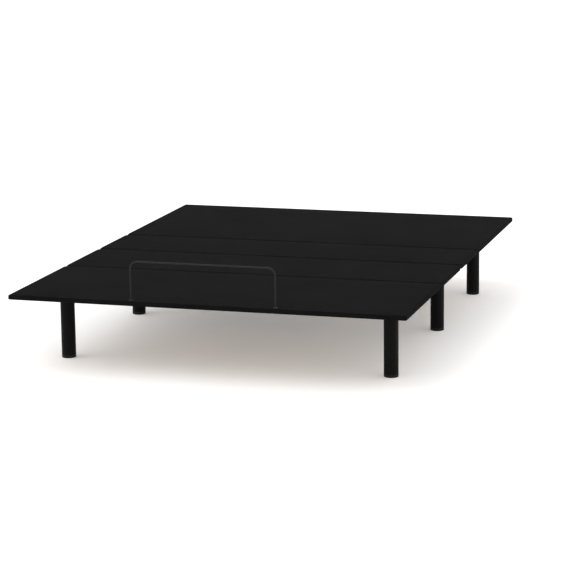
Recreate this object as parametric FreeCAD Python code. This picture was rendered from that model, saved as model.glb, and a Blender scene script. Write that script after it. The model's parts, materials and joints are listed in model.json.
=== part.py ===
import FreeCAD, Part
import math
import os

# Queen-size adjustable bed base. Millimetres, +Z up, +Y towards the head end, +X to the right as seen
# from the foot end. The origin is on the floor, under the middle of the deck.
# Four padded panels lie on a fixed frame with six round legs. The head panel hinges up to 60 degrees.
# The thigh panel hinges up to 40 degrees and carries the calf panel, which a pair of parallel links
# keeps level. One electric actuator drives each motion.

V = FreeCAD.Vector

# ---- Deck ----
DECK_WIDTH = 1524.0
DECK_LENGTH = 2032.0
DECK_TOP = 297.0
COVER_T = 6.0            # padding and fabric on top of a panel's board
BOARD_T = 12.0           # plywood
SKIRT_T = 3.0            # padding and fabric round a board's edges
PANEL_GAP = 24.0
HEAD_LENGTH = 760.0
SEAT_LENGTH = 300.0
THIGH_LENGTH = 340.0
CORNER_R = 8.0           # upright corners of every panel
COVER_EDGE_R = 5.0

BOARD_TOP = DECK_TOP - COVER_T
BOARD_BOTTOM = BOARD_TOP - BOARD_T
HALF_W = DECK_WIDTH / 2
HALF_L = DECK_LENGTH / 2

# ---- Hinge lines: each lies in the middle of a gap, in the plane of the boards' underside ----
HINGE_Z = BOARD_BOTTOM
HEAD_HINGE_Y = HALF_L - HEAD_LENGTH - PANEL_GAP / 2
THIGH_HINGE_Y = HEAD_HINGE_Y - SEAT_LENGTH - PANEL_GAP
KNEE_HINGE_Y = THIGH_HINGE_Y - THIGH_LENGTH - PANEL_GAP
EDGE = PANEL_GAP / 2     # from a hinge line to the panel edge beside it
HEAD_LIFT_MAX = 60.0     # degrees

# ---- Fixed frame ----
LEG_INSET_X = 124.0
RAIL_X = HALF_W - LEG_INSET_X
RAIL_W, RAIL_H, RAIL_WALL = 30.0, 50.0, 2.0
RAIL_TOP = BOARD_BOTTOM - 3.0
RAIL_BOTTOM = RAIL_TOP - RAIL_H
RAIL_IN = RAIL_X - RAIL_W / 2
RAIL_OUT = RAIL_X + RAIL_W / 2
RAIL_FOOT_Y, RAIL_HEAD_Y = -785.0, 950.0
CROSS_W, CROSS_H = 40.0, 25.0
CROSS_TOP = RAIL_BOTTOM + CROSS_H
CROSS_Y = {"foot": -765.0, "mid": 82.0, "head": 756.0}
END_CAP_T, END_PLUG_L = 3.0, 18.0
PAD_Y = (900.0, 620.0, 330.0, 170.0, -10.0, -150.0, -560.0, -720.0)
PAD_W, PAD_L = 18.0, 40.0
PAD_T = 2.8              # rubber rest pad on a rail, just clear of the board above it

# ---- Plates that a headboard bolts to, on the rails' head ends ----
HEADBOARD_PLATE_X = (RAIL_X - 50.0, RAIL_X + 20.0)
HEADBOARD_PLATE_Z = (188.0, 274.0)
HEADBOARD_PLATE_T = 5.0
HEADBOARD_HOLE_X = RAIL_X - 32.0
HEADBOARD_HOLES_Z = (205.0, 255.0)
HEADBOARD_HOLE_R = 4.5

# ---- Legs ----
LEG_Y = {"foot": -736.0, "mid": 45.0, "head": 756.0}
LEG_R, LEG_WALL = 27.5, 2.0
GLIDE_H = 12.0
LEG_PLATE, LEG_PLATE_T, LEG_PLATE_CORNER_R = 80.0, 4.0, 10.0
LEG_TOP = RAIL_BOTTOM - LEG_PLATE_T
LEG_CAP_T = 3.0
GLIDE_PLUG_L, GLIDE_CHAMFER = 16.0, 1.5
STUD_R, STUD_HOLE_R = 5.0, 5.2
STUD_HEAD_T, STUD_NUT_T, STUD_END = 7.0, 8.0, 14.0
STUD_HEX = 19.0          # across the corners of its head and nut

# ---- Frames of the moving panels, nested between the rails ----
TUBE, TUBE_WALL = 25.0, 1.5
SIDE_OUT = 595.0         # outer face of a side tube
SIDE_IN = SIDE_OUT - TUBE
BRACKET_BARS = (55.0, 190.0)   # where the two cross tubes that carry a lift bracket begin
HEAD_BARS = (EDGE, *BRACKET_BARS, 430.0, 675.0)
THIGH_BARS = (EDGE, *BRACKET_BARS, THIGH_LENGTH + EDGE - TUBE)
CALF_BARS = (EDGE, 220.0, 430.0)

# ---- Hinges ----
HINGE_X = 500.0
PIN_R = 4.0
RUNNING = 0.06           # radial clearance of a turning fit
LOOSE = 0.4              # clearance between parts that pass without touching
EAR_R = 9.0
EAR_W = 8.0
EAR_DROP = 14.0
FORK_PLATE_T = 5.0
FORK_GAP = 9.0
BUSH_R = 5.5
BUSH_PROUD = 0.3         # how far a bush stands out of its ear
PIN_HEAD_T = 3.0
PIN_HEAD_STEP = 3.0      # how far a pin's head stands out beyond its shank

# ---- Links that keep the calf panel level ----
LINK_LENGTH = THIGH_HINGE_Y - KNEE_HINGE_Y
LINK_W, LINK_T = 20.0, 6.0
LINK_IN = 606.0
LINK_Z = BOARD_BOTTOM - TUBE / 2
CALF_PIVOT_Y = -740.0
RAIL_PIVOT_Y = CALF_PIVOT_Y + LINK_LENGTH
LINK_PIN_R = 5.0
LINK_COLLAR_R = 8.0      # spacers and nuts on the link bolts
LINK_HEAD_R = 8.5
LINK_HEAD_T = 4.0
LINK_NUT_T = 6.0

# ---- Actuators. Each pivots as far behind its hinge line as the lift pin is in front of it, at the
# same depth, so that the actuator tilts by exactly half the panel's angle. ----
PIVOT_REACH = 140.0
PIVOT_DROP = 125.0
ACT_PIN_R = 6.0
CHEEK_IN, CHEEK_T, CHEEK_R = 10.5, 5.0, 15.0    # anchor bracket cheeks
ANCHOR_HALF_X, ANCHOR_BASE_T = 45.0, 5.0
ANCHOR_BOLT_X, ANCHOR_BOLT_HEX = 34.0, 15.0
LIFT_IN, LIFT_T, LIFT_EYE_R = 13.0, 5.0, 18.0   # lift bracket plates
LIFT_HOLE = (128.0, -62.0, 17.0)    # lightening hole: u, w and radius from the hinge line
LIFT_SPACER = (180.0, -50.0, 9.0)   # bar between the plates, likewise
CASE_U0, CASE_U1 = 45.0, 110.0      # gear case, measured from the rear pivot along the actuator
CASE_HALF_X, CASE_UP, CASE_DOWN = 27.0, 27.0, 40.0
CASE_WALL, CASE_EDGE_R = 5.0, 6.0
CASE_EYE_R, CASE_NECK_HALF = 13.0, 11.0
WORM_U, WORM_W = 76.0, -27.0        # axis of the motor and its worm
WORM_BORE_R, WORM_R, WORM_HALF_L, SHAFT_R, SHAFT_END = 9.0, 6.0, 14.0, 4.0, 18.0
MOTOR_R, MOTOR_FLANGE_R, MOTOR_FLANGE_T, MOTOR_L = 23.0, 24.0, 4.0, 100.0
MOTOR_BOSS_R, MOTOR_BOSS_T, MOTOR_EDGE_R = 9.0, 5.0, 4.0
OUTER_R, OUTER_BORE = 18.0, 16.0
OUTER_U1, CAP_U1 = 214.0, 226.0
ROD_R, ROD_WALL = 11.0, 1.5
NUT_U0, NUT_U1 = 112.0, 124.0
SPINDLE_R, SPINDLE_U0, SPINDLE_U1 = 6.0, 47.5, 210.0
WHEEL_R, WHEEL_U0, WHEEL_U1 = 20.0, 70.0, 82.0
EYE_U0 = 238.0                      # slotted eye at the rod's end
EYE_HALF_X, EYE_R = 10.0, 14.0
SLOT_PLAY = 0.25

# ---- Mattress retainer bar ----
RETAINER_WIDTH = 553.0   # between the centres of its posts
RETAINER_RISE = 146.0    # from the deck's top to the bar's centre
RETAINER_R = 3.0
RETAINER_BEND = 28.0
RETAINER_INSET = 12.0
SOCKET_R, SOCKET_FLANGE_R, SOCKET_FLANGE_T = 5.0, 8.0, 1.5
SOCKET_BOTTOM = BOARD_BOTTOM + 1.0

# ---- Electrics ----
CONTROL_X, CONTROL_Y = (-330.0, -180.0), (118.0, 192.0)
SUPPLY_X, SUPPLY_Y = (-340.0, -200.0), (-30.0, 45.0)
BOX_T, LID_T, SUPPLY_T = 30.0, 8.0, 34.0
BOX_WALL, BOX_CORNER_R = 3.0, 5.0
INLET_W, INLET_DEPTH, INLET_Z0, INLET_Z1 = 23.0, 14.0, 10.0, 24.0
GLAND_U, GLAND_W, GLAND_R, GLAND_L = 72.0, -24.0, 5.0, 9.0

nodes = {}


def add(name, *solids):
    """Keeps the solids of one named part."""
    nodes[name] = list(solids)


# ---------------------------------------------------------------- shapes

def box(x0, x1, y0, y1, z0, z1):
    return Part.makeBox(x1 - x0, y1 - y0, z1 - z0, V(x0, y0, z0))


def post(x, y, z0, z1, r):
    return Part.makeCylinder(r, z1 - z0, V(x, y, z0), V(0, 0, 1))


def hex_post(x, y, z0, z1, across_corners):
    corners = [V(x + across_corners / 2 * math.cos(math.radians(60 * i)),
                 y + across_corners / 2 * math.sin(math.radians(60 * i)), z0) for i in range(7)]
    return Part.Face(Part.makePolygon(corners)).extrude(V(0, 0, z1 - z0))


def upright_edges(solid):
    return [e for e in solid.Edges
            if len(e.Vertexes) == 2 and abs(e.tangentAt(e.FirstParameter).z) > 0.99]


def tube_x(x0, x1, y0, y1, z0, z1, wall):
    return box(x0, x1, y0, y1, z0, z1).cut(
        box(x0 - 1, x1 + 1, y0 + wall, y1 - wall, z0 + wall, z1 - wall))


def tube_y(x0, x1, y0, y1, z0, z1, wall):
    return box(x0, x1, y0, y1, z0, z1).cut(
        box(x0 + wall, x1 - wall, y0 - 1, y1 + 1, z0 + wall, z1 - wall))


def mirrored(solid):
    """The same part on the other side of the bed."""
    return solid.mirror(V(0, 0, 0), V(1, 0, 0))


def both_sides(*solids):
    return [*solids, *(mirrored(s) for s in solids)]


class Station:
    """Working axes at a pivot line: u runs along the bed (direction +1 is towards the head),
    w runs up and x runs across."""

    def __init__(self, y, z, direction):
        self.y, self.z, self.direction = y, z, direction

    def box(self, x0, x1, u0, u1, w0, w1):
        ya, yb = sorted((self.y + self.direction * u0, self.y + self.direction * u1))
        return box(x0, x1, ya, yb, self.z + w0, self.z + w1)

    def across(self, x0, x1, u, w, r):
        """A round bar across the bed."""
        return Part.makeCylinder(
            r, x1 - x0, V(x0, self.y + self.direction * u, self.z + w), V(1, 0, 0))

    def along(self, u0, u1, r, x=0.0, w=0.0):
        """A round bar along the bed."""
        return Part.makeCylinder(
            r, u1 - u0, V(x, self.y + self.direction * u0, self.z + w), V(0, self.direction, 0))

    def plate(self, x0, x1, corners):
        """A flat plate across x0 to x1, with its outline given as (u, w) corners."""
        outline = [V(x0, self.y + self.direction * u, self.z + w) for u, w in corners]
        return Part.Face(Part.makePolygon([*outline, outline[0]])).extrude(V(x1 - x0, 0, 0))

    def tube_across(self, x0, x1, u0, side, wall):
        ya, yb = sorted((self.y + self.direction * u0, self.y + self.direction * (u0 + side)))
        return tube_x(x0, x1, ya, yb, self.z - side, self.z, wall)

    def tube_along(self, x0, x1, u0, u1, side, wall):
        ya, yb = sorted((self.y + self.direction * u0, self.y + self.direction * u1))
        return tube_y(x0, x1, ya, yb, self.z - side, self.z, wall)


HEAD = Station(HEAD_HINGE_Y, HINGE_Z, 1)
THIGH = Station(THIGH_HINGE_Y, HINGE_Z, -1)
CALF = Station(KNEE_HINGE_Y, HINGE_Z, -1)
HEAD_DRIVE = Station(HEAD_HINGE_Y - PIVOT_REACH, HINGE_Z - PIVOT_DROP, 1)
FOOT_DRIVE = Station(THIGH_HINGE_Y + PIVOT_REACH, HINGE_Z - PIVOT_DROP, -1)


# ---------------------------------------------------------------- fixed frame

def side_rail():
    """Right-hand rail: a rectangular tube with its leg holes and the link pivot's hole."""
    rail = tube_y(RAIL_IN, RAIL_OUT, RAIL_FOOT_Y, RAIL_HEAD_Y, RAIL_BOTTOM, RAIL_TOP, RAIL_WALL)
    for y in LEG_Y.values():
        rail = rail.cut(post(RAIL_X, y, RAIL_BOTTOM - 1, RAIL_BOTTOM + RAIL_WALL + 1, STUD_HOLE_R))
    pivot = Station(RAIL_PIVOT_Y, LINK_Z, 1)
    return rail.cut(pivot.across(RAIL_IN - 1, RAIL_OUT + 1, 0, 0, LINK_PIN_R + RUNNING))


def cross_member(y):
    return tube_x(-RAIL_IN, RAIL_IN, y - CROSS_W / 2, y + CROSS_W / 2,
                  RAIL_BOTTOM, CROSS_TOP, RAIL_WALL)


def headboard_plate():
    """Right-hand plate on the rail's head end, with two holes inboard of the rail."""
    plate = box(*HEADBOARD_PLATE_X, RAIL_HEAD_Y, RAIL_HEAD_Y + HEADBOARD_PLATE_T, *HEADBOARD_PLATE_Z)
    for z in HEADBOARD_HOLES_Z:
        plate = plate.cut(Part.makeCylinder(HEADBOARD_HOLE_R, HEADBOARD_PLATE_T + 2,
                                            V(HEADBOARD_HOLE_X, RAIL_HEAD_Y - 1, z), V(0, 1, 0)))
    return plate


def rail_end_cap():
    """Plastic plug in the rail's foot end."""
    face_y = RAIL_FOOT_Y - END_CAP_T
    face = box(RAIL_IN, RAIL_OUT, face_y, RAIL_FOOT_Y, RAIL_BOTTOM, RAIL_TOP)
    face = face.makeFillet(2.0, [e for e in face.Edges if abs(e.CenterOfMass.y - face_y) < 0.1])
    inset = RAIL_WALL + 0.2
    plug = box(RAIL_IN + inset, RAIL_OUT - inset, RAIL_FOOT_Y, RAIL_FOOT_Y + END_PLUG_L,
               RAIL_BOTTOM + inset, RAIL_TOP - inset)
    return face.fuse(plug)


def rest_pad(y):
    """Rubber pad on the right-hand rail, under the boards."""
    return box(RAIL_X - PAD_W / 2, RAIL_X + PAD_W / 2, y - PAD_L / 2, y + PAD_L / 2,
               RAIL_TOP, RAIL_TOP + PAD_T)


def hinge_ear(at, x):
    """Moving half of a hinge: one plate with a seat for its bush."""
    ear = at.box(x - EAR_W / 2, x + EAR_W / 2, 0, EDGE, -EAR_DROP, 0)
    ear = ear.fuse(at.across(x - EAR_W / 2, x + EAR_W / 2, 0, 0, EAR_R))
    return ear.cut(at.across(x - EAR_W, x + EAR_W, 0, 0, BUSH_R))


def hinge_fork(at, x):
    """Fixed half of a hinge: two plates either side of the ear, on the other side of the line."""
    plates = []
    for x0 in (x - FORK_GAP / 2 - FORK_PLATE_T, x + FORK_GAP / 2):
        plate = at.box(x0, x0 + FORK_PLATE_T, -EDGE, 0, -EAR_DROP, 0)
        plate = plate.fuse(at.across(x0, x0 + FORK_PLATE_T, 0, 0, EAR_R))
        plates.append(plate.cut(at.across(x0 - 1, x0 + FORK_PLATE_T + 1, 0, 0, PIN_R + RUNNING)))
    return plates


def hinge_bush(at, x):
    ring = at.across(x - EAR_W / 2 - BUSH_PROUD, x + EAR_W / 2 + BUSH_PROUD, 0, 0, BUSH_R)
    return ring.cut(at.across(x - EAR_W, x + EAR_W, 0, 0, PIN_R + RUNNING))


def headed_pin(at, x, reach, r, u=0.0):
    """Cross pin through plates that reach that far either side of x, with a head and a clip."""
    shank = at.across(x - reach - PIN_HEAD_T, x + reach + PIN_HEAD_T, u, 0, r)
    head = at.across(x + reach + 0.2, x + reach + PIN_HEAD_T, u, 0, r + PIN_HEAD_STEP)
    clip = at.across(x - reach - 2, x - reach - 0.5, u, 0, r + 2)
    return shank.fuse([head, clip])


def hinge_pins(at):
    return [headed_pin(at, x, FORK_GAP / 2 + FORK_PLATE_T, PIN_R) for x in (-HINGE_X, HINGE_X)]


def hinge_forks(at):
    return [plate for x in (-HINGE_X, HINGE_X) for plate in hinge_fork(at, x)]


def hinge_bushes(at):
    return [hinge_bush(at, x) for x in (-HINGE_X, HINGE_X)]


def fixed_frame():
    rail = side_rail()
    add("side_rail_right", rail)
    add("side_rail_left", mirrored(rail))
    for place, y in CROSS_Y.items():
        add(f"{place}_cross_member", cross_member(y))
    add("seat_cross_tubes", *(at.tube_across(-RAIL_IN, RAIL_IN, -EDGE - TUBE, TUBE, TUBE_WALL)
                              for at in (HEAD, THIGH)))
    add("hinge_forks", *hinge_forks(HEAD), *hinge_forks(THIGH))
    add("rail_end_caps", *both_sides(rail_end_cap()))
    add("rest_pads", *both_sides(*(rest_pad(y) for y in PAD_Y)))
    add("headboard_plates", *both_sides(headboard_plate()))


def anchor_bracket():
    """Bolted under the middle cross member, with one pivot for each actuator's rear end."""
    base_z = RAIL_BOTTOM - ANCHOR_BASE_T
    rise = base_z - HEAD_DRIVE.z
    low_y, high_y = FOOT_DRIVE.y - CHEEK_R, HEAD_DRIVE.y + CHEEK_R
    base = box(-ANCHOR_HALF_X, ANCHOR_HALF_X, low_y + 3, high_y - 3, base_z, RAIL_BOTTOM)
    at = Station(0, HEAD_DRIVE.z, 1)
    cheeks = []
    for x0 in (-CHEEK_IN - CHEEK_T, CHEEK_IN):
        x1 = x0 + CHEEK_T
        cheek = at.plate(x0, x1, [(low_y, 0), (low_y - 3, rise), (high_y + 3, rise), (high_y, 0)])
        cheek = cheek.fuse([drive.across(x0, x1, 0, 0, CHEEK_R) for drive in (HEAD_DRIVE, FOOT_DRIVE)])
        for drive in (HEAD_DRIVE, FOOT_DRIVE):
            cheek = cheek.cut(drive.across(x0 - 1, x1 + 1, 0, 0, ACT_PIN_R + RUNNING))
        cheeks.append(cheek)
    bolts = [hex_post(x, CROSS_Y["mid"], base_z - 5, base_z, ANCHOR_BOLT_HEX)
             for x in (-ANCHOR_BOLT_X, ANCHOR_BOLT_X)]
    return [base, *cheeks, *bolts]


def link_bolt(at, x0, x1, head_x0, collar, nut_x0):
    """Right-hand shoulder bolt: a shank from x0 to x1, a low head, a spacer and a nut."""
    return at.across(x0, x1, 0, 0, LINK_PIN_R).fuse([
        at.across(head_x0, head_x0 + LINK_HEAD_T, 0, 0, LINK_HEAD_R),
        at.across(*collar, 0, 0, LINK_COLLAR_R),
        at.across(nut_x0, nut_x0 + LINK_NUT_T, 0, 0, LINK_COLLAR_R)])


def pivot_pins():
    """Every pin that the fixed frame carries: hinges, actuator anchors and link pivots."""
    anchors = [headed_pin(drive, 0, CHEEK_IN + CHEEK_T, ACT_PIN_R) for drive in (HEAD_DRIVE, FOOT_DRIVE)]
    near, far = LINK_IN - LOOSE, LINK_IN + LINK_T + LOOSE
    bolt = link_bolt(Station(RAIL_PIVOT_Y, LINK_Z, 1), near, RAIL_OUT + 2,
                     near - LINK_HEAD_T, (far, RAIL_IN), RAIL_OUT)
    return [*hinge_pins(HEAD), *hinge_pins(THIGH), *anchors, *both_sides(bolt)]


# ---------------------------------------------------------------- legs

def leg(y):
    """Right-hand leg: a round tube with a flat plate closing its top."""
    tube = post(RAIL_X, y, GLIDE_H, LEG_TOP, LEG_R)
    tube = tube.cut(post(RAIL_X, y, GLIDE_H - 1, LEG_TOP - LEG_CAP_T, LEG_R - LEG_WALL))
    return tube.cut(post(RAIL_X, y, LEG_TOP - LEG_CAP_T - 1, LEG_TOP + 1, STUD_HOLE_R))


def glide(y):
    """Plastic foot pressed into the leg's open end."""
    foot = post(RAIL_X, y, 0, GLIDE_H, LEG_R)
    foot = foot.makeChamfer(GLIDE_CHAMFER, [e for e in foot.Edges if abs(e.CenterOfMass.z) < 0.1])
    return foot.fuse(post(RAIL_X, y, GLIDE_H, GLIDE_H + GLIDE_PLUG_L, LEG_R - LEG_WALL - 0.2))


def leg_plate(y):
    half = LEG_PLATE / 2
    plate = box(RAIL_X - half, RAIL_X + half, y - half, y + half, LEG_TOP, RAIL_BOTTOM)
    plate = plate.makeFillet(LEG_PLATE_CORNER_R, upright_edges(plate))
    return plate.cut(post(RAIL_X, y, LEG_TOP - 1, RAIL_BOTTOM + 1, STUD_HOLE_R))


def leg_stud(y):
    """Threaded stud that holds the leg to the rail, with its hex head and nut."""
    under_cap, inner_z = LEG_TOP - LEG_CAP_T, RAIL_BOTTOM + RAIL_WALL
    head = hex_post(RAIL_X, y, under_cap - STUD_HEAD_T, under_cap, STUD_HEX)
    nut = hex_post(RAIL_X, y, inner_z, inner_z + STUD_NUT_T, STUD_HEX)
    return post(RAIL_X, y, under_cap - STUD_HEAD_T, inner_z + STUD_END, STUD_R).fuse([head, nut])


def legs():
    for place, y in LEG_Y.items():
        right = leg(y)
        add(f"leg_{place}_right", right)
        add(f"leg_{place}_left", mirrored(right))
    rows = LEG_Y.values()
    add("leg_glides", *both_sides(*(glide(y) for y in rows)))
    add("leg_plates", *both_sides(*(leg_plate(y) for y in rows)))
    add("leg_studs", *both_sides(*(leg_stud(y) for y in rows)))


# ---------------------------------------------------------------- deck panels

def rounded_slab(inset, y0, y1, z0, z1):
    """A slab of the deck's width with its four upright corners rounded, drawn in by inset."""
    slab = box(-HALF_W + inset, HALF_W - inset, y0 + inset, y1 - inset, z0, z1)
    return slab.makeFillet(CORNER_R - inset, upright_edges(slab))


def panel(name, y0, y1, holes=()):
    """One deck panel: a plywood board and the padded fabric cover over its top and edges."""
    board = rounded_slab(SKIRT_T, y0, y1, BOARD_BOTTOM, BOARD_TOP)
    cover = rounded_slab(0, y0, y1, BOARD_BOTTOM, DECK_TOP)
    cover = cover.makeFillet(COVER_EDGE_R, [e for e in cover.Edges
                                            if e.BoundBox.ZMin > DECK_TOP - 0.1])
    cover = cover.cut(board)
    for x, y in holes:
        bore = post(x, y, SOCKET_BOTTOM, DECK_TOP + 1, SOCKET_R)
        board, cover = board.cut(bore), cover.cut(bore)
    add(f"{name}_board", board)
    add(f"{name}_cover", cover)


def deck():
    sockets = [(side * RETAINER_WIDTH / 2, -HALF_L + RETAINER_INSET) for side in (-1, 1)]
    panel("head", HEAD_HINGE_Y + EDGE, HALF_L)
    panel("seat", THIGH_HINGE_Y + EDGE, HEAD_HINGE_Y - EDGE)
    panel("thigh", KNEE_HINGE_Y + EDGE, THIGH_HINGE_Y - EDGE)
    panel("calf", -HALF_L, KNEE_HINGE_Y - EDGE, holes=sockets)


def panel_frame(at, bars, length):
    """Welded frame under a moving panel: two side tubes, cross tubes and the hinge ears."""
    sides = both_sides(at.tube_along(SIDE_IN, SIDE_OUT, EDGE, length, TUBE, TUBE_WALL))
    cross = [at.tube_across(-SIDE_IN, SIDE_IN, u, TUBE, TUBE_WALL) for u in bars]
    ears = [hinge_ear(at, x) for x in (-HINGE_X, HINGE_X)]
    return [*sides, *cross, *ears]


def lift_bracket(at):
    """Two plates under a panel's frame that carry the lift pin, with a spacer between them."""
    top, low = -TUBE, -PIVOT_DROP
    hole_u, hole_w, hole_r = LIFT_HOLE
    spacer_u, spacer_w, spacer_r = LIFT_SPACER
    outline = [(BRACKET_BARS[0], top), (BRACKET_BARS[1] + TUBE, top),
               (PIVOT_REACH + LIFT_EYE_R, low), (PIVOT_REACH - LIFT_EYE_R, low)]
    plates = []
    for x0 in (-LIFT_IN - LIFT_T, LIFT_IN):
        x1 = x0 + LIFT_T
        plate = at.plate(x0, x1, outline).fuse(at.across(x0, x1, PIVOT_REACH, low, LIFT_EYE_R))
        plate = plate.cut(at.across(x0 - 1, x1 + 1, PIVOT_REACH, low, ACT_PIN_R + RUNNING))
        plates.append(plate.cut(at.across(x0 - 1, x1 + 1, hole_u, hole_w, hole_r)))
    return [*plates, at.across(-LIFT_IN, LIFT_IN, spacer_u, spacer_w, spacer_r)]


def lift_pin(at):
    level = Station(at.y, at.z - PIVOT_DROP, at.direction)
    return headed_pin(level, 0, LIFT_IN + LIFT_T, ACT_PIN_R, PIVOT_REACH)


def head_section():
    add("head_frame", *panel_frame(HEAD, HEAD_BARS, HEAD_BARS[-1] + TUBE))
    add("head_lift_bracket", *lift_bracket(HEAD))
    add("head_lift_pin", lift_pin(HEAD))
    add("head_hinge_bushes", *hinge_bushes(HEAD))


def thigh_section():
    add("thigh_frame", *panel_frame(THIGH, THIGH_BARS, THIGH_LENGTH + EDGE), *hinge_forks(CALF))
    add("thigh_lift_bracket", *lift_bracket(THIGH))
    add("thigh_lift_pin", lift_pin(THIGH))
    add("thigh_hinge_bushes", *hinge_bushes(THIGH))
    add("knee_pins", *hinge_pins(CALF))


def calf_section():
    frame = panel_frame(CALF, CALF_BARS, CALF_BARS[-1] + TUBE)
    pivot = Station(CALF_PIVOT_Y, LINK_Z, 1)
    bore = pivot.across(-SIDE_OUT - 1, SIDE_OUT + 1, 0, 0, LINK_PIN_R + RUNNING)
    side_tubes, rest = frame[:2], frame[2:]
    add("calf_frame", *(tube.cut(bore) for tube in side_tubes), *rest)
    add("calf_hinge_bushes", *hinge_bushes(CALF))
    far = LINK_IN + LINK_T + LOOSE
    bolt = link_bolt(pivot, SIDE_IN - 2, far, far, (SIDE_OUT, LINK_IN - LOOSE), SIDE_IN - LINK_NUT_T)
    add("link_end_bolts", *both_sides(bolt))


def support_links():
    """Flat bars between the rails and the calf frame, parallel to the thigh panel."""
    at = Station(RAIL_PIVOT_Y, LINK_Z, -1)
    half = LINK_W / 2
    link = at.box(LINK_IN, LINK_IN + LINK_T, 0, LINK_LENGTH, -half, half)
    for u in (0, LINK_LENGTH):
        link = link.fuse(at.across(LINK_IN, LINK_IN + LINK_T, u, 0, half))
    for u in (0, LINK_LENGTH):
        link = link.cut(at.across(LINK_IN - 1, LINK_IN + LINK_T + 1, u, 0, LINK_PIN_R + RUNNING))
    add("support_link_right", link)
    add("support_link_left", mirrored(link))


def retainer():
    """Bent steel rod that stops the mattress sliding off, plugged into two flanged sockets."""
    half, y = RETAINER_WIDTH / 2, -HALF_L + RETAINER_INSET
    top, foot = DECK_TOP + RETAINER_RISE, SOCKET_BOTTOM + 1.5
    bend = RETAINER_BEND
    offset = bend * (1 - math.sqrt(0.5))
    edges = [
        Part.LineSegment(V(-half, y, foot), V(-half, y, top - bend)).toShape(),
        Part.Arc(V(-half, y, top - bend), V(-half + offset, y, top - offset),
                 V(-half + bend, y, top)).toShape(),
        Part.LineSegment(V(-half + bend, y, top), V(half - bend, y, top)).toShape(),
        Part.Arc(V(half - bend, y, top), V(half - offset, y, top - offset),
                 V(half, y, top - bend)).toShape(),
        Part.LineSegment(V(half, y, top - bend), V(half, y, foot)).toShape(),
    ]
    profile = Part.Wire([Part.makeCircle(RETAINER_R, V(-half, y, foot), V(0, 0, 1))])
    add("retainer_bar", Part.Wire(edges).makePipeShell([profile], True, False))
    sockets = []
    for x in (-half, half):
        sleeve = post(x, y, SOCKET_BOTTOM, DECK_TOP, SOCKET_R)
        sleeve = sleeve.fuse(post(x, y, DECK_TOP, DECK_TOP + SOCKET_FLANGE_T, SOCKET_FLANGE_R))
        sockets.append(sleeve.cut(post(x, y, foot, DECK_TOP + 5, RETAINER_R + 0.1)))
    add("retainer_sockets", *sockets)


# ---------------------------------------------------------------- actuators

def slot_travel():
    """How far the lift pin runs ahead of the rod's eye at mid lift, where the rod's travel is
    proportional to the head panel's angle."""
    arm = math.hypot(PIVOT_REACH, PIVOT_DROP)
    rest = math.atan2(PIVOT_REACH, PIVOT_DROP)
    full = math.radians(HEAD_LIFT_MAX)
    span = [full * i / 60 for i in range(61)]
    length = [2 * arm * (math.sin(rest + t / 2) - math.sin(rest)) for t in span]
    return max(grown - length[-1] * t / full for grown, t in zip(length, span))


def gear_case(at):
    """Moulded case with the rear eye, the gear chamber, the bores into it and a lead gland."""
    case = at.box(-CASE_HALF_X, CASE_HALF_X, CASE_U0, CASE_U1, -CASE_DOWN, CASE_UP)
    case = case.makeFillet(CASE_EDGE_R, [e for e in case.Edges
                                         if abs(e.tangentAt(e.FirstParameter).y) > 0.99])
    eye_x = CHEEK_IN - 1
    neck = at.box(-eye_x, eye_x, 0, CASE_U0, -CASE_NECK_HALF, CASE_NECK_HALF)
    gland = at.across(-CASE_HALF_X - GLAND_L, -CASE_HALF_X, GLAND_U, GLAND_W, GLAND_R)
    case = case.fuse([neck, at.across(-eye_x, eye_x, 0, 0, CASE_EYE_R), gland])
    inside = CASE_HALF_X - CASE_WALL
    chamber = at.box(-inside, inside, CASE_U0 + CASE_WALL + 2, CASE_U1 - CASE_WALL - 1,
                     -CASE_DOWN + CASE_WALL, CASE_UP - CASE_WALL)
    cuts = [
        at.across(-eye_x - 1, eye_x + 1, 0, 0, ACT_PIN_R + RUNNING),
        at.along(SPINDLE_U0 - 0.5, CASE_U1 + 1, SPINDLE_R + RUNNING),
        at.across(inside - 1, CASE_HALF_X + 1, WORM_U, WORM_W, WORM_BORE_R),
    ]
    for cutter in (chamber, *cuts):
        case = case.cut(cutter)
    return case


def motor(at):
    """Motor can with its flange, shaft and worm, lying across the bed."""
    flange_x = CASE_HALF_X + MOTOR_FLANGE_T
    end_x = CASE_HALF_X + MOTOR_L
    can = at.across(flange_x, end_x, WORM_U, WORM_W, MOTOR_R)
    can = can.makeFillet(MOTOR_EDGE_R, [e for e in can.Edges if abs(e.CenterOfMass.x - end_x) < 0.1])
    stretches = [(CASE_HALF_X, flange_x, MOTOR_FLANGE_R), (end_x, end_x + MOTOR_BOSS_T, MOTOR_BOSS_R),
                 (-SHAFT_END, CASE_HALF_X, SHAFT_R), (-WORM_HALF_L, WORM_HALF_L, WORM_R)]
    return can.fuse([at.across(x0, x1, WORM_U, WORM_W, r) for x0, x1, r in stretches])


def spindle(at):
    """Lead screw with its worm wheel."""
    screw = at.along(SPINDLE_U0, SPINDLE_U1, SPINDLE_R)
    return screw.fuse(at.along(WHEEL_U0, WHEEL_U1, WHEEL_R))


def outer_tube(at):
    """Fixed tube of the actuator and the guide cap on its front end."""
    tube = at.along(CASE_U1, OUTER_U1, OUTER_R).cut(at.along(CASE_U1 - 1, OUTER_U1 + 1, OUTER_BORE))
    cap = at.along(OUTER_U1, CAP_U1, OUTER_R + 1)
    cap = cap.cut(at.along(OUTER_U1 - 1, CAP_U1 + 1, ROD_R + RUNNING))
    return [tube, cap]


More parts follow.
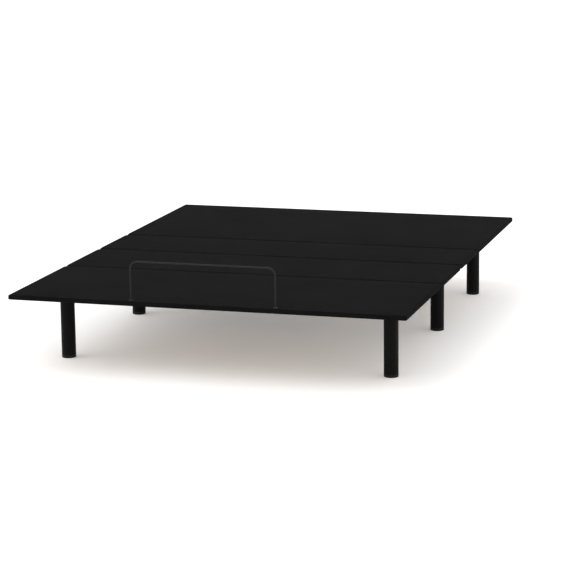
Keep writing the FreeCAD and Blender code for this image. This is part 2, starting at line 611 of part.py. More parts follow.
def push_rod(at):
    """Drive nut and the sliding tube it pushes."""
    nut = at.along(NUT_U0, NUT_U1, OUTER_BORE - LOOSE).cut(
        at.along(NUT_U0 - 1, NUT_U1 + 1, SPINDLE_R + LOOSE))
    tube = at.along(NUT_U1, EYE_U0, ROD_R).cut(
        at.along(NUT_U1 - 1, EYE_U0 + 1, ROD_R - ROD_WALL))
    return [nut, tube]


def slotted_eye(at):
    """Rod end whose slot lets the lift pin run ahead of the rod."""
    pin_u = 2 * PIVOT_REACH
    far_u = pin_u + slot_travel() + LOOSE
    slot_half = ACT_PIN_R + SLOT_PLAY
    eye = at.box(-EYE_HALF_X, EYE_HALF_X, EYE_U0, far_u, -EYE_R, EYE_R)
    eye = eye.fuse(at.across(-EYE_HALF_X, EYE_HALF_X, far_u, 0, EYE_R))
    slot = at.box(-EYE_HALF_X - 1, EYE_HALF_X + 1, pin_u, far_u, -slot_half, slot_half)
    for u in (pin_u, far_u):
        slot = slot.fuse(at.across(-EYE_HALF_X - 1, EYE_HALF_X + 1, u, 0, slot_half))
    return eye.cut(slot)


def actuators():
    for name, at in (("head", HEAD_DRIVE), ("foot", FOOT_DRIVE)):
        add(f"{name}_gear_case", gear_case(at))
        add(f"{name}_motor", motor(at))
        add(f"{name}_spindle", spindle(at))
        add(f"{name}_outer_tube", *outer_tube(at))
        add(f"{name}_push_rod", *push_rod(at))
        add(f"{name}_rod_eye", slotted_eye(at))


# ---------------------------------------------------------------- electrics

def lead_gland(x, y, z):
    """Gland that stands out of a housing's right-hand side."""
    return Part.makeCylinder(GLAND_R, GLAND_L, V(x, y, z), V(1, 0, 0))


def electrics():
    """Control box with its lid, and the power supply, screwed to the seat panel's underside."""
    (cx0, cx1), (cy0, cy1) = CONTROL_X, CONTROL_Y
    case_z0 = BOARD_BOTTOM - BOX_T
    case = box(cx0, cx1, cy0, cy1, case_z0, BOARD_BOTTOM)
    case = case.makeFillet(BOX_CORNER_R, upright_edges(case))
    case = case.cut(box(cx0 + BOX_WALL, cx1 - BOX_WALL, cy0 + BOX_WALL, cy1 - BOX_WALL,
                        case_z0 - 1, BOARD_BOTTOM - BOX_WALL))
    case = case.fuse([lead_gland(cx1, y, BOARD_BOTTOM - BOX_T / 2)
                      for y in (cy0 + 16, (cy0 + cy1) / 2, cy1 - 16)])
    lid = box(cx0, cx1, cy0, cy1, case_z0 - LID_T, case_z0)
    lid = lid.makeFillet(BOX_CORNER_R, upright_edges(lid))
    add("control_box", case)
    add("control_box_lid", lid)
    (sx0, sx1), (sy0, sy1) = SUPPLY_X, SUPPLY_Y
    supply = box(sx0, sx1, sy0, sy1, BOARD_BOTTOM - SUPPLY_T, BOARD_BOTTOM)
    supply = supply.makeFillet(BOX_CORNER_R, supply.Edges)
    inlet_y = (sy0 + sy1) / 2
    inlet = box(sx0 - 1, sx0 + INLET_DEPTH, inlet_y - INLET_W / 2, inlet_y + INLET_W / 2,
                BOARD_BOTTOM - INLET_Z1, BOARD_BOTTOM - INLET_Z0)
    gland = lead_gland(sx1, inlet_y, BOARD_BOTTOM - SUPPLY_T / 2)
    add("power_supply", supply.cut(inlet).fuse(gland))


# ---------------------------------------------------------------- assembly

fixed_frame()
add("actuator_anchor", *anchor_bracket())
add("pivot_pins", *pivot_pins())
legs()
deck()
head_section()
thigh_section()
calf_section()
support_links()
retainer()
actuators()
electrics()

os.makedirs("parts", exist_ok=True)
for name, solids in nodes.items():
    for solid in solids:
        if not solid.isValid() or solid.Volume <= 0 or len(solid.Solids) != 1:
            raise SystemExit(f"{name} has a bad solid")
    shape = solids[0] if len(solids) == 1 else Part.makeCompound(solids)
    shape.exportStep(f"parts/{name}.step")
print(len(nodes), "nodes,", sum(len(s) for s in nodes.values()), "solids")
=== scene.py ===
import json
import math

import bmesh
import bpy
import numpy as np
from mathutils import Matrix, Vector, noise


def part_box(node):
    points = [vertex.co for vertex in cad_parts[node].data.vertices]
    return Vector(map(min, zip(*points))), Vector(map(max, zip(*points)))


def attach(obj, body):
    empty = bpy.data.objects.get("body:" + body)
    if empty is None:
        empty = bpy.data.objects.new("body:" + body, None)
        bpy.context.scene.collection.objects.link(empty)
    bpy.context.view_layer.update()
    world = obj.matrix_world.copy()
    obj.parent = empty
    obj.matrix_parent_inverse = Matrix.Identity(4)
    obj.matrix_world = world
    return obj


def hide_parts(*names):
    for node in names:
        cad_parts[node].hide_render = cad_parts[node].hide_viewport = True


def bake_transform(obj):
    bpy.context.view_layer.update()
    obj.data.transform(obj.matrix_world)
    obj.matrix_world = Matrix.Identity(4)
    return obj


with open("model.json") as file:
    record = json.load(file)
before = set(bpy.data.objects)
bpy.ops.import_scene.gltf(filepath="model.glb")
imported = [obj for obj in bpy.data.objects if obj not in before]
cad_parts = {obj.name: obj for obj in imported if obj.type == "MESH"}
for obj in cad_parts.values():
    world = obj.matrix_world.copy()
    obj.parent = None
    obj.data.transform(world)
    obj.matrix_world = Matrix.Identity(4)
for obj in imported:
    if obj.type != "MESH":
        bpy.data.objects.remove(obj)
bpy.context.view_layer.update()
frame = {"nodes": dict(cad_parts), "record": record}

# Metres. +Z up, +Y towards the head end, +X to the right as seen from the foot end.
MM = 0.001
PANELS = {                 # each deck panel and the body it belongs to
    "head": "head_section",
    "seat": "base_frame",
    "thigh": "thigh_section",
    "calf": "calf_section",
}
HINGES = {                 # each hinge's panels, the one nearer the foot end first
    "head": ("seat", "head"),
    "thigh": ("thigh", "seat"),
    "knee": ("calf", "thigh"),
}


# ---------------------------------------------------------------- camera, lights and floor

CAMERA_PLACE = (2.48807, -8.31578, 1.99528)
CAMERA_YAW, CAMERA_PITCH, CAMERA_ROLL = -0.28777, 0.20954, -0.01121
CAMERA_LENS = 136.07


def make_camera():
    """The photograph's view: from the foot end's right, a little above, through a long lens."""
    yaw, pitch, roll = CAMERA_YAW, CAMERA_PITCH, CAMERA_ROLL
    level = math.cos(pitch)
    forward = Vector((math.sin(yaw) * level, math.cos(yaw) * level, -math.sin(pitch)))
    level_right = Vector((math.cos(yaw), -math.sin(yaw), 0))
    level_up = level_right.cross(forward)
    right = math.cos(roll) * level_right + math.sin(roll) * level_up
    up = math.cos(roll) * level_up - math.sin(roll) * level_right
    data = bpy.data.cameras.new("camera")
    data.lens = CAMERA_LENS
    data.sensor_width = 36
    data.clip_end = 200
    camera = bpy.data.objects.new("camera", data)
    camera.matrix_world = Matrix.Translation(CAMERA_PLACE) @ Matrix(
        (right, up, -forward)).transposed().to_4x4()
    bpy.context.scene.collection.objects.link(camera)
    bpy.context.scene.camera = camera


def soft_sun(name, towards, softness, strength):
    """A very wide distant light, as a large softbox is, shining along towards."""
    data = bpy.data.lights.new(name, "SUN")
    data.angle = math.radians(softness)
    data.energy = strength
    light = bpy.data.objects.new(name, data)
    light.rotation_euler = Vector(towards).to_track_quat("-Z", "Y").to_euler()
    bpy.context.scene.collection.objects.link(light)


def make_studio():
    """A pale floor under three large soft lights, with white all round."""
    scene = bpy.context.scene
    scene.view_settings.view_transform = "Standard"
    world = bpy.data.worlds.new("studio")
    world.use_nodes = True
    background = world.node_tree.nodes["Background"]
    background.inputs["Color"].default_value = (1.0, 1.0, 1.0, 1.0)
    background.inputs["Strength"].default_value = 1.0
    scene.world = world
    soft_sun("key", (0.75, 0.55, -1.0), 55, 0.85)
    soft_sun("fill", (-0.9, 0.35, -0.8), 70, 0.25)
    soft_sun("back", (0.15, -1.0, -0.75), 60, 0.2)
    bpy.ops.mesh.primitive_plane_add(size=120)
    floor = bpy.context.object
    floor.name = "floor"
    floor.data.materials.append(floor_material())


# ---------------------------------------------------------------- node helpers

class Shader:
    """Builds one material's nodes around a Principled shader."""

    def __init__(self, name):
        self.material = bpy.data.materials.new(name)
        self.material.use_nodes = True
        self.tree = self.material.node_tree
        self.principled = self.tree.nodes["Principled BSDF"]
        self.coordinates = self.tree.nodes.new("ShaderNodeTexCoord")

    def node(self, kind, **properties):
        made = self.tree.nodes.new(kind)
        for key, value in properties.items():
            setattr(made, key, value)
        return made

    def link(self, source, target):
        self.tree.links.new(source, target)

    def put(self, socket, value):
        """Links value to a socket if it is an output, or sets it if it is a constant."""
        if isinstance(value, bpy.types.NodeSocket):
            self.link(value, socket)
        else:
            socket.default_value = value

    def math(self, operation, a, b=0.0, c=0.0):
        made = self.node("ShaderNodeMath", operation=operation)
        for socket, value in zip(made.inputs, (a, b, c)):
            self.put(socket, value)
        return made.outputs[0]

    def noise(self, scale, detail=3.0, rough=0.5, vector=None):
        made = self.node("ShaderNodeTexNoise")
        made.inputs["Scale"].default_value = scale
        made.inputs["Detail"].default_value = detail
        made.inputs["Roughness"].default_value = rough
        self.put(made.inputs["Vector"], vector or self.coordinates.outputs["Object"])
        return made.outputs["Fac"]

    def stretched(self, x, y, z):
        """Object coordinates scaled differently along each axis."""
        made = self.node("ShaderNodeMapping")
        self.put(made.inputs["Vector"], self.coordinates.outputs["Object"])
        made.inputs["Scale"].default_value = (x, y, z)
        return made.outputs["Vector"]

    def ramp(self, value, low, high, low_out=0.0, high_out=1.0):
        made = self.node("ShaderNodeMapRange")
        self.put(made.inputs["Value"], value)
        made.inputs["From Min"].default_value = low
        made.inputs["From Max"].default_value = high
        made.inputs["To Min"].default_value = low_out
        made.inputs["To Max"].default_value = high_out
        return made.outputs["Result"]

    def mix(self, factor, a, b):
        """Mixes two colours."""
        made = self.node("ShaderNodeMix", data_type="RGBA")
        self.put(made.inputs["Factor"], factor)
        colours = [s for s in made.inputs if s.type == "RGBA"]
        for socket, value in zip(colours, (a, b)):
            self.put(socket, value if isinstance(value, bpy.types.NodeSocket) else (*value, 1.0))
        return [s for s in made.outputs if s.type == "RGBA"][0]

    def rounded(self, radius):
        """The normal of edges rounded by radius."""
        bevel = self.node("ShaderNodeBevel", samples=4)
        bevel.inputs["Radius"].default_value = radius
        return bevel.outputs["Normal"]

    def edge_mask(self, radius):
        """Near 1 along outer edges, 0 on flat faces, from the difference that rounding makes."""
        geometry = self.node("ShaderNodeNewGeometry")
        dot = self.node("ShaderNodeVectorMath", operation="DOT_PRODUCT")
        self.link(self.rounded(radius), dot.inputs[0])
        self.link(geometry.outputs["Normal"], dot.inputs[1])
        return self.ramp(dot.outputs["Value"], 0.99, 0.8)

    def bump(self, height, strength, distance, normal=None):
        """A normal tilted by height, on top of another normal if one is given."""
        made = self.node("ShaderNodeBump")
        made.inputs["Strength"].default_value = strength
        made.inputs["Distance"].default_value = distance
        self.put(made.inputs["Height"], height)
        if normal is not None:
            self.put(made.inputs["Normal"], normal)
        return made.outputs["Normal"]

    def finish(self, **inputs):
        """Sets the Principled shader's inputs, with underscores for spaces in their names."""
        for name, value in inputs.items():
            socket = self.principled.inputs[name.replace("_", " ")]
            if isinstance(value, tuple) and len(value) == 3:
                value = (*value, 1.0)
            self.put(socket, value)
        return self.material


# ---------------------------------------------------------------- materials

def floor_material():
    """Pale floor that glows a little, as one lit from below does, so that its shadows are light."""
    s = Shader("floor")
    tone = s.ramp(s.noise(0.8), 0.3, 0.7)
    return s.finish(Base_Color=s.mix(tone, (0.90, 0.90, 0.90), (0.92, 0.92, 0.92)), Roughness=0.9,
                    Emission_Color=(1.0, 1.0, 1.0), Emission_Strength=0.2)


THREAD_PITCH = 1.6 * MM    # between neighbouring threads of the upholstery
FACING = 0.7               # a face looks along an axis where that part of its normal is larger


def plain_weave(s, pitch):
    """Height of a plain weave and a 0 or 1 for which thread is on top, whichever way a face looks."""
    position = s.node("ShaderNodeSeparateXYZ")
    s.link(s.coordinates.outputs["Object"], position.inputs[0])
    facing = s.node("ShaderNodeSeparateXYZ")
    s.link(s.coordinates.outputs["Normal"], facing.inputs[0])
    x, y, z = position.outputs
    on_x_side = s.math("GREATER_THAN", s.math("ABSOLUTE", facing.outputs[0]), FACING)
    on_y_side = s.math("GREATER_THAN", s.math("ABSOLUTE", facing.outputs[1]), FACING)
    across = s.math("ADD", x, s.math("MULTIPLY", on_x_side, s.math("SUBTRACT", z, x)))
    along = s.math("ADD", y, s.math("MULTIPLY", on_y_side, s.math("SUBTRACT", z, y)))
    u, v = (s.math("MULTIPLY", a, 1 / pitch) for a in (across, along))
    odd = s.math("PINGPONG", s.math("ADD", s.math("FLOOR", u), s.math("FLOOR", v)), 1.0)
    hills = [s.math("ABSOLUTE", s.math("SINE", s.math("MULTIPLY", a, math.pi))) for a in (u, v)]
    warp = s.math("MULTIPLY", hills[0], odd)
    weft = s.math("MULTIPLY", hills[1], s.math("SUBTRACT", 1.0, odd))
    return s.math("ADD", warp, weft), odd


def upholstery_material():
    """Black woven polyester: a fine plain weave with slubs, a faint melange and a soft sheen."""
    s = Shader("upholstery")
    height, odd = plain_weave(s, THREAD_PITCH)
    slubs = s.noise(60, 4, 0.6, s.stretched(9, 1, 1))
    cloudy = s.noise(5, 3)
    fibre = s.noise(900, 2)
    tone = s.math("MULTIPLY_ADD", odd, 0.35, s.ramp(slubs, 0.35, 0.7, 0.0, 0.42))
    tone = s.math("ADD", tone, s.ramp(cloudy, 0.3, 0.7, -0.1, 0.15))
    colour = s.mix(tone, (0.0027, 0.0027, 0.0029), (0.0105, 0.0105, 0.0111))
    relief = s.math("ADD", height, s.math("MULTIPLY", fibre, 0.5))
    normal = s.bump(relief, 0.8, 0.35 * MM)
    rough = s.ramp(fibre, 0.3, 0.7, 0.82, 0.95)
    return s.finish(Base_Color=colour, Roughness=rough, Normal=normal, Sheen_Weight=0.003,
                    Sheen_Roughness=0.6, Specular_IOR_Level=0.015)


def powder_coat(name, colour, roughness, specular):
    """Powder-coated steel: fine orange peel, uneven gloss, and edges rubbed a little brighter."""
    s = Shader(name)
    peel = s.noise(420, 2, 0.45)
    broad = s.noise(7, 4)
    scuffs = s.ramp(s.noise(38, 8, 0.65), 0.58, 0.75)
    worn = s.math("MULTIPLY", s.edge_mask(0.9 * MM), s.ramp(s.noise(26, 5), 0.42, 0.66))
    lighter = tuple(c * 1.9 + 0.006 for c in colour)
    tone = s.math("ADD", s.math("MULTIPLY", worn, 0.55), s.math("MULTIPLY", scuffs, 0.08))
    tint = s.mix(tone, colour, lighter)
    tint = s.mix(s.ramp(broad, 0.35, 0.7, 0.0, 0.25), tint, tuple(c * 0.75 for c in colour))
    rough = s.math("ADD", s.ramp(broad, 0.3, 0.7, roughness - 0.05, roughness + 0.06),
                   s.math("MULTIPLY", scuffs, 0.12))
    normal = s.bump(peel, 0.12, 0.15 * MM, s.rounded(0.8 * MM))
    return s.finish(Base_Color=tint, Roughness=rough, Normal=normal, Specular_IOR_Level=specular)


def bare_metal(name, colour, roughness, brushed=(1, 1, 1), grime=0.15):
    """Plated or bare metal with fine drawn marks, patches of dulling, and rounded edges."""
    s = Shader(name)
    marks = s.noise(500, 3, 0.6, s.stretched(*brushed))
    patches = s.noise(22, 5, 0.6)
    tint = s.mix(s.ramp(patches, 0.4, 0.75, 0.0, grime), colour, tuple(c * 0.45 for c in colour))
    rough = s.math("ADD", s.ramp(marks, 0.3, 0.7, roughness - 0.04, roughness + 0.06),
                   s.ramp(patches, 0.45, 0.8, 0.0, 0.12))
    normal = s.bump(marks, 0.12, 0.05 * MM, s.rounded(0.4 * MM))
    return s.finish(Base_Color=tint, Metallic=1.0, Roughness=rough, Normal=normal)


def moulded_plastic(name, colour, roughness, specular, grain=900):
    """Moulded plastic with a fine spark-eroded grain."""
    s = Shader(name)
    fine = s.noise(grain, 2, 0.5)
    broad = s.noise(12, 4)
    tint = s.mix(s.ramp(broad, 0.35, 0.7), colour, tuple(c * 1.3 + 0.002 for c in colour))
    rough = s.ramp(broad, 0.3, 0.7, roughness - 0.05, roughness + 0.07)
    normal = s.bump(fine, 0.3, 0.08 * MM, s.rounded(0.7 * MM))
    return s.finish(Base_Color=tint, Roughness=rough, Normal=normal, Specular_IOR_Level=specular)


GROWTH_RINGS = 11          # between the lowest and the highest value of the veneer's contour map


def plywood_material():
    """Pale rotary-cut veneer: irregular cathedral figure across the bed, fibres and small pores."""
    s = Shader("plywood")
    field = s.noise(1.5, 2, 0.45, s.stretched(0.45, 2.1, 1.0))
    rings = s.math("SINE", s.math("MULTIPLY", field, 2 * math.pi * GROWTH_RINGS))
    figure = s.math("POWER", s.ramp(rings, -1, 1), 2.2)
    fibres = s.noise(150, 5, 0.65, s.stretched(0.10, 4.0, 4.0))
    pores = s.ramp(s.noise(260, 3, 0.6, s.stretched(0.18, 3.0, 3.0)), 0.62, 0.74)
    patches = s.noise(2.4, 4, 0.5, s.stretched(0.6, 1.8, 1.0))
    tone = s.math("ADD", s.math("MULTIPLY", figure, 0.42), s.math("MULTIPLY", fibres, 0.5))
    colour = s.mix(s.ramp(tone, 0.15, 0.75), (0.64, 0.485, 0.315), (0.50, 0.345, 0.200))
    colour = s.mix(s.ramp(patches, 0.5, 0.8, 0.0, 0.35), colour, (0.56, 0.40, 0.25))
    colour = s.mix(s.math("MULTIPLY", pores, 0.5), colour, (0.26, 0.155, 0.08))
    rough = s.ramp(fibres, 0.3, 0.7, 0.55, 0.75)
    relief = s.math("SUBTRACT", fibres, pores)
    return s.finish(Base_Color=colour, Roughness=rough, Normal=s.bump(relief, 0.25, 0.2 * MM))


def thread_material():
    """Twisted black thread, a little shinier than the fabric it is sewn through."""
    s = Shader("thread")
    wave = s.node("ShaderNodeTexWave", wave_type="BANDS", bands_direction="DIAGONAL")
    wave.inputs["Scale"].default_value = 450.0
    wave.inputs["Distortion"].default_value = 1.0
    s.link(s.coordinates.outputs["Object"], wave.inputs["Vector"])
    colour = s.mix(wave.outputs["Fac"], (0.010, 0.010, 0.011), (0.030, 0.030, 0.032))
    return s.finish(Base_Color=colour, Roughness=0.6, Specular_IOR_Level=0.2,
                    Normal=s.bump(wave.outputs["Fac"], 0.4, 0.1 * MM))


def rubber_material():
    """Black rubber with a little dust on it."""
    s = Shader("rubber")
    fine = s.noise(300, 3)
    dust = s.ramp(s.noise(30, 4), 0.5, 0.75)
    colour = s.mix(dust, (0.018, 0.018, 0.018), (0.035, 0.034, 0.032))
    return s.finish(Base_Color=colour, Roughness=0.85, Normal=s.bump(fine, 0.2, 0.1 * MM))


def make_materials():
    """Every finish, under the name of its material slot in the record."""
    black = (0.0050, 0.0050, 0.0054)
    return {
        "upholstery": upholstery_material(),
        "plywood": plywood_material(),
        "black_steel": powder_coat("black_steel", black, 0.5, 0.2),
        "leg_black": powder_coat("leg_black", (0.0028, 0.0028, 0.0030), 0.5, 0.07),
        "retainer_grey": powder_coat("retainer_grey", (0.0125, 0.0125, 0.0134), 0.42, 0.16),
        "zinc": bare_metal("zinc", (0.56, 0.56, 0.54), 0.36),
        "bronze": bare_metal("bronze", (0.50, 0.34, 0.17), 0.42),
        "rod_steel": bare_metal("rod_steel", (0.66, 0.67, 0.69), 0.18, (1, 0.05, 1), 0.05),
        "case_plastic": moulded_plastic("case_plastic", (0.0125, 0.0125, 0.0132), 0.46, 0.35),
        "motor_black": powder_coat("motor_black", (0.018, 0.018, 0.020), 0.38, 0.4),
        "tube_grey": bare_metal("tube_grey", (0.24, 0.25, 0.27), 0.34, (1, 0.05, 1)),
        "glide_plastic": moulded_plastic("glide_plastic", (0.0055, 0.0055, 0.0060), 0.55, 0.15, 600),
        "rubber": rubber_material(),
        "thread": thread_material(),
    }


def paint_cad_nodes(materials):
    """Gives every CAD node the finish of its slot in the record."""
    for part in frame["record"]["subparts"]:
        mesh = frame["nodes"][part["node"]].data
        mesh.materials.clear()
        mesh.materials.append(materials[part["material_slot"]])


# ---------------------------------------------------------------- mesh helpers

def mesh_object(name, vertices, faces, material):
    """A smooth-shaded mesh in the scene."""
    mesh = bpy.data.meshes.new(name)
    mesh.from_pydata([tuple(v) for v in vertices], [], [tuple(f) for f in faces])
    mesh.materials.append(material)
    mesh.validate()
    mesh.shade_smooth()
    made = bpy.data.objects.new(name, mesh)
    bpy.context.scene.collection.objects.link(made)
    return made


def face_outwards(piece):
    """Makes every face of a closed mesh look out of it."""
    mesh = bmesh.new()
    mesh.from_mesh(piece.data)
    bmesh.ops.recalc_face_normals(mesh, faces=mesh.faces)
    mesh.to_mesh(piece.data)
    mesh.free()


def apply_modifiers(piece):
    """Replaces a piece's mesh by what its modifiers make of it."""
    evaluated = piece.evaluated_get(bpy.context.evaluated_depsgraph_get())
    mesh = bpy.data.meshes.new_from_object(evaluated)
    piece.modifiers.clear()
    old, piece.data = piece.data, mesh
    mesh.name = piece.name
    bpy.data.meshes.remove(old)


def subdivide(piece):
    """Applies one level of subdivision surface."""
    modifier = piece.modifiers.new("subdivision", "SUBSURF")
    modifier.levels = modifier.render_levels = 1
    apply_modifiers(piece)


def grid_faces(index):
    """Quads between the rows and columns of a grid of vertex numbers."""
    corners = [index[:-1, :-1], index[1:, :-1], index[1:, 1:], index[:-1, 1:]]
    return np.stack(corners, -1).reshape(-1, 4).tolist()


def smooth_step(value, low, high):
    """0 up to low, 1 from high, and an even curve between them."""
    t = np.clip((value - low) / (high - low), 0, 1)
    return t * t * (3 - 2 * t)


# ---------------------------------------------------------------- height of the fabric over the foam

CLOTH_CELL = 14 * MM       # spacing of the simulated cloth
CLOTH_FRAMES = 22
CLOTH_GROWTH = 0.003       # how much longer the fabric is than the space it is held in
CLOTH_UNEVEN = 0.3         # how far off flat it starts, in mm
CLOTH_FEWEST = 6           # cells along a side
CLOTH_INNER_PIN = 0.1      # how firmly its inside is held, where its edge is 1
CROWN = 2.0 * MM           # most that the foam pushes the fabric up
CROWN_SOFTNESS = 7 * MM    # simulated height that is brought down to about two thirds of CROWN


def run_cloth(cloth, edge, inside):
    """Runs and applies the simulation: held at the edge, longer than its space, pushed up from below."""
    held = cloth.vertex_groups.new(name="held")
    held.add(edge, 1.0, "REPLACE")
    held.add(inside, CLOTH_INNER_PIN, "REPLACE")
    modifier = cloth.modifiers.new("cloth", "CLOTH")
    settings = modifier.settings
    settings.quality = 6
    settings.mass = 0.2
    settings.tension_stiffness = settings.compression_stiffness = 15
    settings.bending_stiffness = 10
    settings.effector_weights.gravity = 0
    settings.vertex_group_mass = "held"
    settings.pin_stiffness = 0.1
    settings.shrink_min = -CLOTH_GROWTH
    settings.use_pressure = True
    settings.uniform_pressure_force = 2
    modifier.collision_settings.use_collision = False
    modifier.point_cache.frame_start = 1
    modifier.point_cache.frame_end = CLOTH_FRAMES
    for number in range(1, CLOTH_FRAMES + 1):
        bpy.context.scene.frame_set(number)
    apply_modifiers(cloth)


def simulate_fabric(width, length, seed):
    """Height, on an even grid, of fabric held along its edges with foam pushing it up from below."""
    shape = tuple(max(CLOTH_FEWEST, round(side / CLOTH_CELL)) + 1 for side in (width, length))
    x, y = np.meshgrid(np.linspace(0, width, shape[0]), np.linspace(0, length, shape[1]), indexing="ij")
    edge = np.ones(shape, bool)
    edge[1:-1, 1:-1] = False
    uneven = np.random.default_rng(seed).uniform(-CLOTH_UNEVEN, CLOTH_UNEVEN, shape) * MM
    index = np.arange(x.size).reshape(shape)
    places = np.stack([x, y, np.where(edge, 0, uneven)], -1)
    cloth = mesh_object("fabric_test", places.reshape(-1, 3), grid_faces(index), materials["upholstery"])
    run_cloth(cloth, index[edge].tolist(), index[~edge].tolist())
    places = np.empty(x.size * 3)
    cloth.data.vertices.foreach_get("co", places)
    bpy.data.objects.remove(cloth)
    bpy.context.scene.frame_set(1)
    height = places.reshape(*shape, 3)[..., 2]
    for _ in range(2):
        height[1:-1, 1:-1] = (2 * height[1:-1, 1:-1] + height[2:, 1:-1] + height[:-2, 1:-1]
                              + height[1:-1, 2:] + height[1:-1, :-2]) / 6
    return CROWN * (1 - np.exp(-np.maximum(height, 0) / CROWN_SOFTNESS))


def sample(height, u, v):
    """Value of a grid between its points, at fractions u and v of its sides."""
    a, b = u * (height.shape[0] - 1), v * (height.shape[1] - 1)
    i = np.clip(a.astype(int), 0, height.shape[0] - 2)
    j = np.clip(b.astype(int), 0, height.shape[1] - 2)
    a, b = a - i, b - j
    return ((1 - a) * (1 - b) * height[i, j] + a * (1 - b) * height[i + 1, j]
            + (1 - a) * b * height[i, j + 1] + a * b * height[i + 1, j + 1])


# ---------------------------------------------------------------- covers: fabric over foam and board

CORNER_R = 8 * MM          # upright corners of the panels
EDGE_R = 5 * MM            # rounding of the fabric over a panel's top edge
TOP_CELL = 12 * MM         # spacing of the points of a panel's top
NEAR_SIDE = (1.5, 3, 8, 14, 21, 29)   # distances in mm from its sides where it has more points
TIGHTEST = 2 * MM          # smallest radius of a corner that is offset inwards
TOP_DROP = 1.2 * MM        # from the CAD cover's top to the fabric's edge, so that the crown has room
SIDE_END = 1.2 * MM        # from the board's underside up to the end of the fabric's sides
CLOTH_T = 0.8 * MM
WRAP = 27 * MM             # how far the fabric goes under the board
CUT_EDGE = EDGE_R - WRAP   # offset of the wrapped fabric's cut edge from the top's outline
LINING = 2.05 * MM         # offset of the fabric's inner side from the top's outline
BOARD_GAP = 0.05 * MM      # between the fabric and the board
LINING_START = 0.5 * MM    # from the board's underside up to where the inner side is straight
EDGE_ANGLES = (20, 40, 60, 80)   # where the rounding over the top edge has rings of points
SIDE_RINGS = (0.1, 0.5, 0.9)     # the same down the sides, as shares of their height
FLANGE_GAP = 0.1 * MM      # between the pressed fabric and a socket's flange
WRAP_FREE_X = (655 * MM, 685 * MM)   # at a hinge the fabric goes under the board only outside the frame
WRAP_RINGS = (             # offset and height from the board's underside, then the same at a hinge
    (4.7 * MM, -0.3 * MM, 4.7 * MM, 0.3 * MM),
    (3.6 * MM, -CLOTH_T, 3.6 * MM, 0.04 * MM),
    (0, -CLOTH_T, 3.2 * MM, 0.04 * MM),
    (CUT_EDGE / 2, -CLOTH_T, 2.9 * MM, 0.04 * MM),
    (CUT_EDGE, -CLOTH_T, 2.6 * MM, 0.04 * MM),
    (CUT_EDGE, -BOARD_GAP, 2.6 * MM, 0.2 * MM),
    (CUT_EDGE / 2, -BOARD_GAP, LINING, 0.2 * MM),
)


def hinged_edges(name):
    """Whether a panel's edge towards the foot end, and towards the head end, lies at a hinge."""
    return name != "calf", name != "head"


def stations(length):
    """Positions along a side of a panel's top, closer together near its two ends."""
    start = [0, *(v * MM for v in NEAR_SIDE)]
    end = [length - v * MM for v in reversed(NEAR_SIDE)] + [length]
    steps = round((end[0] - start[-1]) / TOP_CELL)
    return np.array(start + list(np.linspace(start[-1], end[0], steps + 1)[1:-1]) + end)


class PanelLoop:
    """The outline of a panel's flat top, from which its edge, sides and wrapped fabric are offset."""

    def __init__(self, low, high):
        self.low = np.array(low[:2]) + EDGE_R
        self.high = np.array(high[:2]) - EDGE_R
        self.r = CORNER_R - EDGE_R
        size = self.high - self.low
        self.x, self.y = np.meshgrid(*(stations(side) for side in size), indexing="ij")
        self.round_corners(size)
        self.x, self.y = self.x + self.low[0], self.y + self.low[1]
        self.index = np.arange(self.x.size).reshape(self.x.shape)
        edge = [self.index[:-1, 0], self.index[-1, :-1], self.index[:0:-1, -1], self.index[0, :0:-1]]
        self.around = np.concatenate(edge)

    def round_corners(self, size):
        """Bends the grid's corner squares into quarter discs, and keeps outward directions."""
        x, y, r = self.x.copy(), self.y.copy(), self.r
        self.normal = np.zeros((*x.shape, 2))
        self.corner = np.zeros(x.shape, bool)
        self.normal[0, :, 0], self.normal[-1, :, 0] = -1, 1
        self.normal[:, 0, 1], self.normal[:, -1, 1] = -1, 1
        for far_x in (False, True):
            for far_y in (False, True):
                dx = size[0] - x if far_x else x
                dy = size[1] - y if far_y else y
                inside = (dx <= r + 1e-9) & (dy <= r + 1e-9)
                u, v = 1 - dx[inside] / r, 1 - dy[inside] / r
                u, v = u * np.sqrt(1 - v * v / 2), v * np.sqrt(1 - u * u / 2)
                self.x[inside] = size[0] - r * (1 - u) if far_x else r * (1 - u)
                self.y[inside] = size[1] - r * (1 - v) if far_y else r * (1 - v)
                self.normal[inside] = np.stack([u if far_x else -u, v if far_y else -v], -1)
                self.corner |= inside

    def offset(self, distance):
        """The outline moved out by distance, or in if it is negative."""
        x, y = self.x.ravel()[self.around], self.y.ravel()[self.around]
        normal = self.normal.reshape(-1, 2)[self.around]
        normal = normal / np.linalg.norm(normal, axis=1)[:, None]
        corner = self.corner.ravel()[self.around]
        middle, half = (self.low + self.high) / 2, (self.high - self.low) / 2
        r = max(self.r + distance, TIGHTEST)
        side_x, side_y = np.sign(x - middle[0]), np.sign(y - middle[1])
        round_x = middle[0] + side_x * (half[0] + distance - r) + r * normal[:, 0]
        round_y = middle[1] + side_y * (half[1] + distance - r) + r * normal[:, 1]
        shift = r - self.r - distance
        along_x = x - side_x * shift * np.abs(x - middle[0]) / (half[0] - self.r)
        along_y = y - side_y * shift * np.abs(y - middle[1]) / (half[1] - self.r)
        on_x_side = np.abs(normal[:, 0]) > 0.5
        straight_x = np.where(on_x_side, middle[0] + side_x * (half[0] + distance), along_x)
        straight_y = np.where(on_x_side, along_y, middle[1] + side_y * (half[1] + distance))
        return np.where(corner, round_x, straight_x), np.where(corner, round_y, straight_y)


